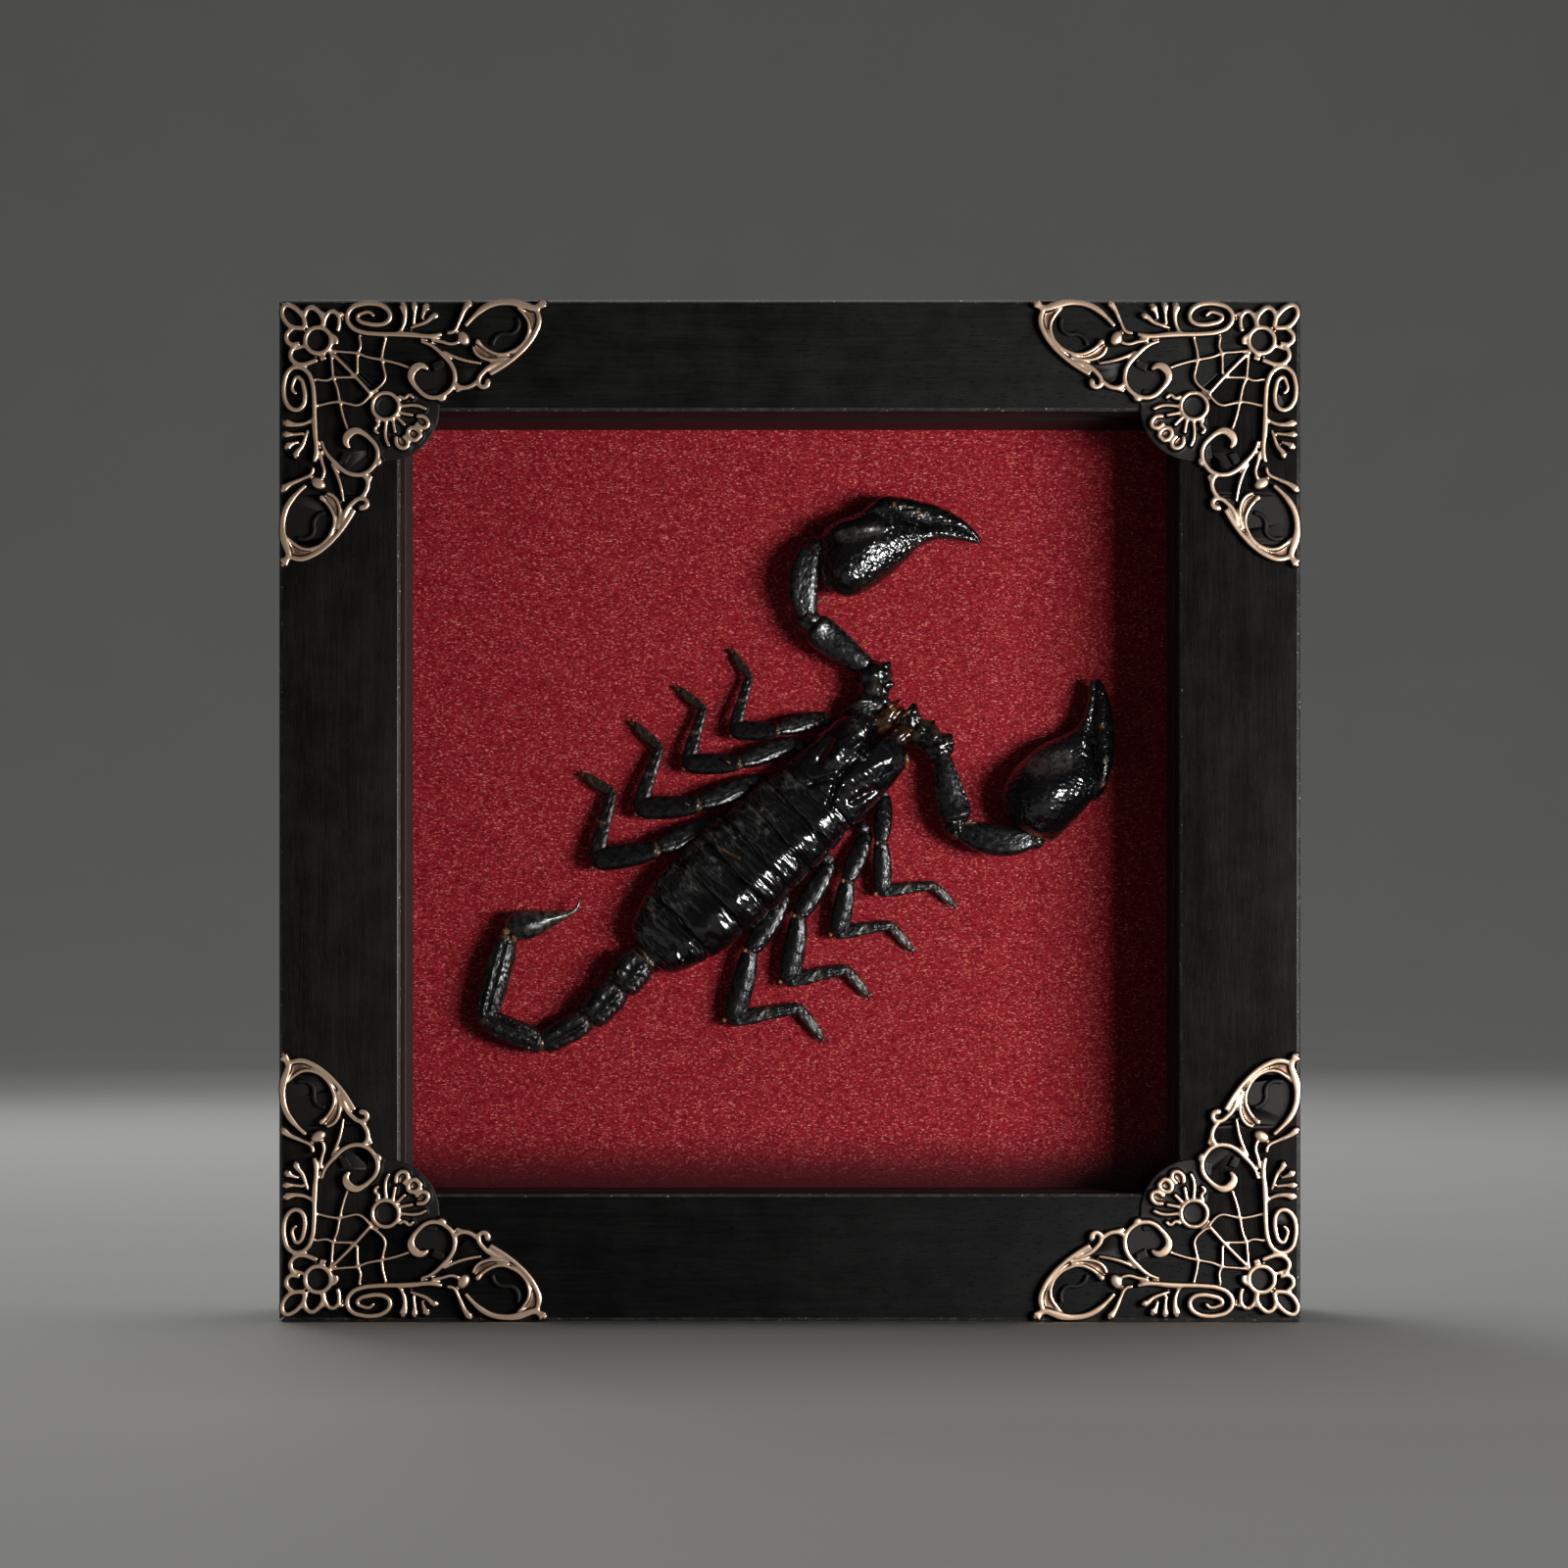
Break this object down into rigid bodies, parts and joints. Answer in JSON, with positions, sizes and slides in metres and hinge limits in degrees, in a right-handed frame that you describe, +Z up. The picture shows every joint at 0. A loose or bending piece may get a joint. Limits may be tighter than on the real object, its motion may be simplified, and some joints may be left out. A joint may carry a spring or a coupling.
{
  "type": "framed scorpion specimen",
  "caption": "Square black shadow-box frame with pierced bronze corner ornaments, holding a mounted black scorpion on a red sparkling board behind a clear pane.",
  "frame": {"origin": "middle of the floor under the standing frame: the centre of the whole object's footprint, at the bottom rail's underside", "axes": "+X to the viewer's right along the frame, +Z up, and the glazed front faces -Y"},
  "size_m": [0.17, 0.032, 0.17],
  "materials": {
    "black_wood": "black-stained wood, satin, faint grain",
    "black_liner": "painted charcoal spacer, matt",
    "glass": "clear pane",
    "red_paper": "deep red board with fine sparkle",
    "fibre_board": "brown hardboard, matt",
    "steel": "zinc-plated steel",
    "antique_bronze": "antique bronze, bright crests over blackened recesses",
    "black_shell": "glossy black chitin, wrinkled and finely granular",
    "amber_shell": "glossy dark amber chitin"
  },
  "bodies": {
    "root": {"abdomen": "black_shell", "arm_left": "black_shell", "arm_right": "black_shell", "back_board": "fibre_board", "carapace": "black_shell", "chelicera_left": "amber_shell", "chelicera_right": "amber_shell", "claw_left": "black_shell", "claw_right": "black_shell", "corner_bottom_left": "antique_bronze", "corner_bottom_right": "antique_bronze", "corner_top_left": "antique_bronze", "corner_top_right": "antique_bronze", "finger_left": "black_shell", "finger_right": "black_shell", "glass": "glass", "hanger": "steel", "hanger_nail_left": "steel", "hanger_nail_right": "steel", "leg_left_1": "black_shell", "leg_left_2": "black_shell", "leg_left_3": "black_shell", "leg_left_4": "black_shell", "leg_right_1": "black_shell", "leg_right_2": "black_shell", "leg_right_3": "black_shell", "leg_right_4": "black_shell", "liner_bottom": "black_liner", "liner_left": "black_liner", "liner_right": "black_liner", "liner_top": "black_liner", "mount_board": "red_paper", "rail_bottom": "black_wood", "rail_left": "black_wood", "rail_right": "black_wood", "rail_top": "black_wood", "stinger": "black_shell", "tab_bottom_a": "steel", "tab_bottom_b": "steel", "tab_left_a": "steel", "tab_left_b": "steel", "tab_right_a": "steel", "tab_right_b": "steel", "tab_top_a": "steel", "tab_top_b": "steel", "tail": "black_shell"}
  },
  "joints": []
}
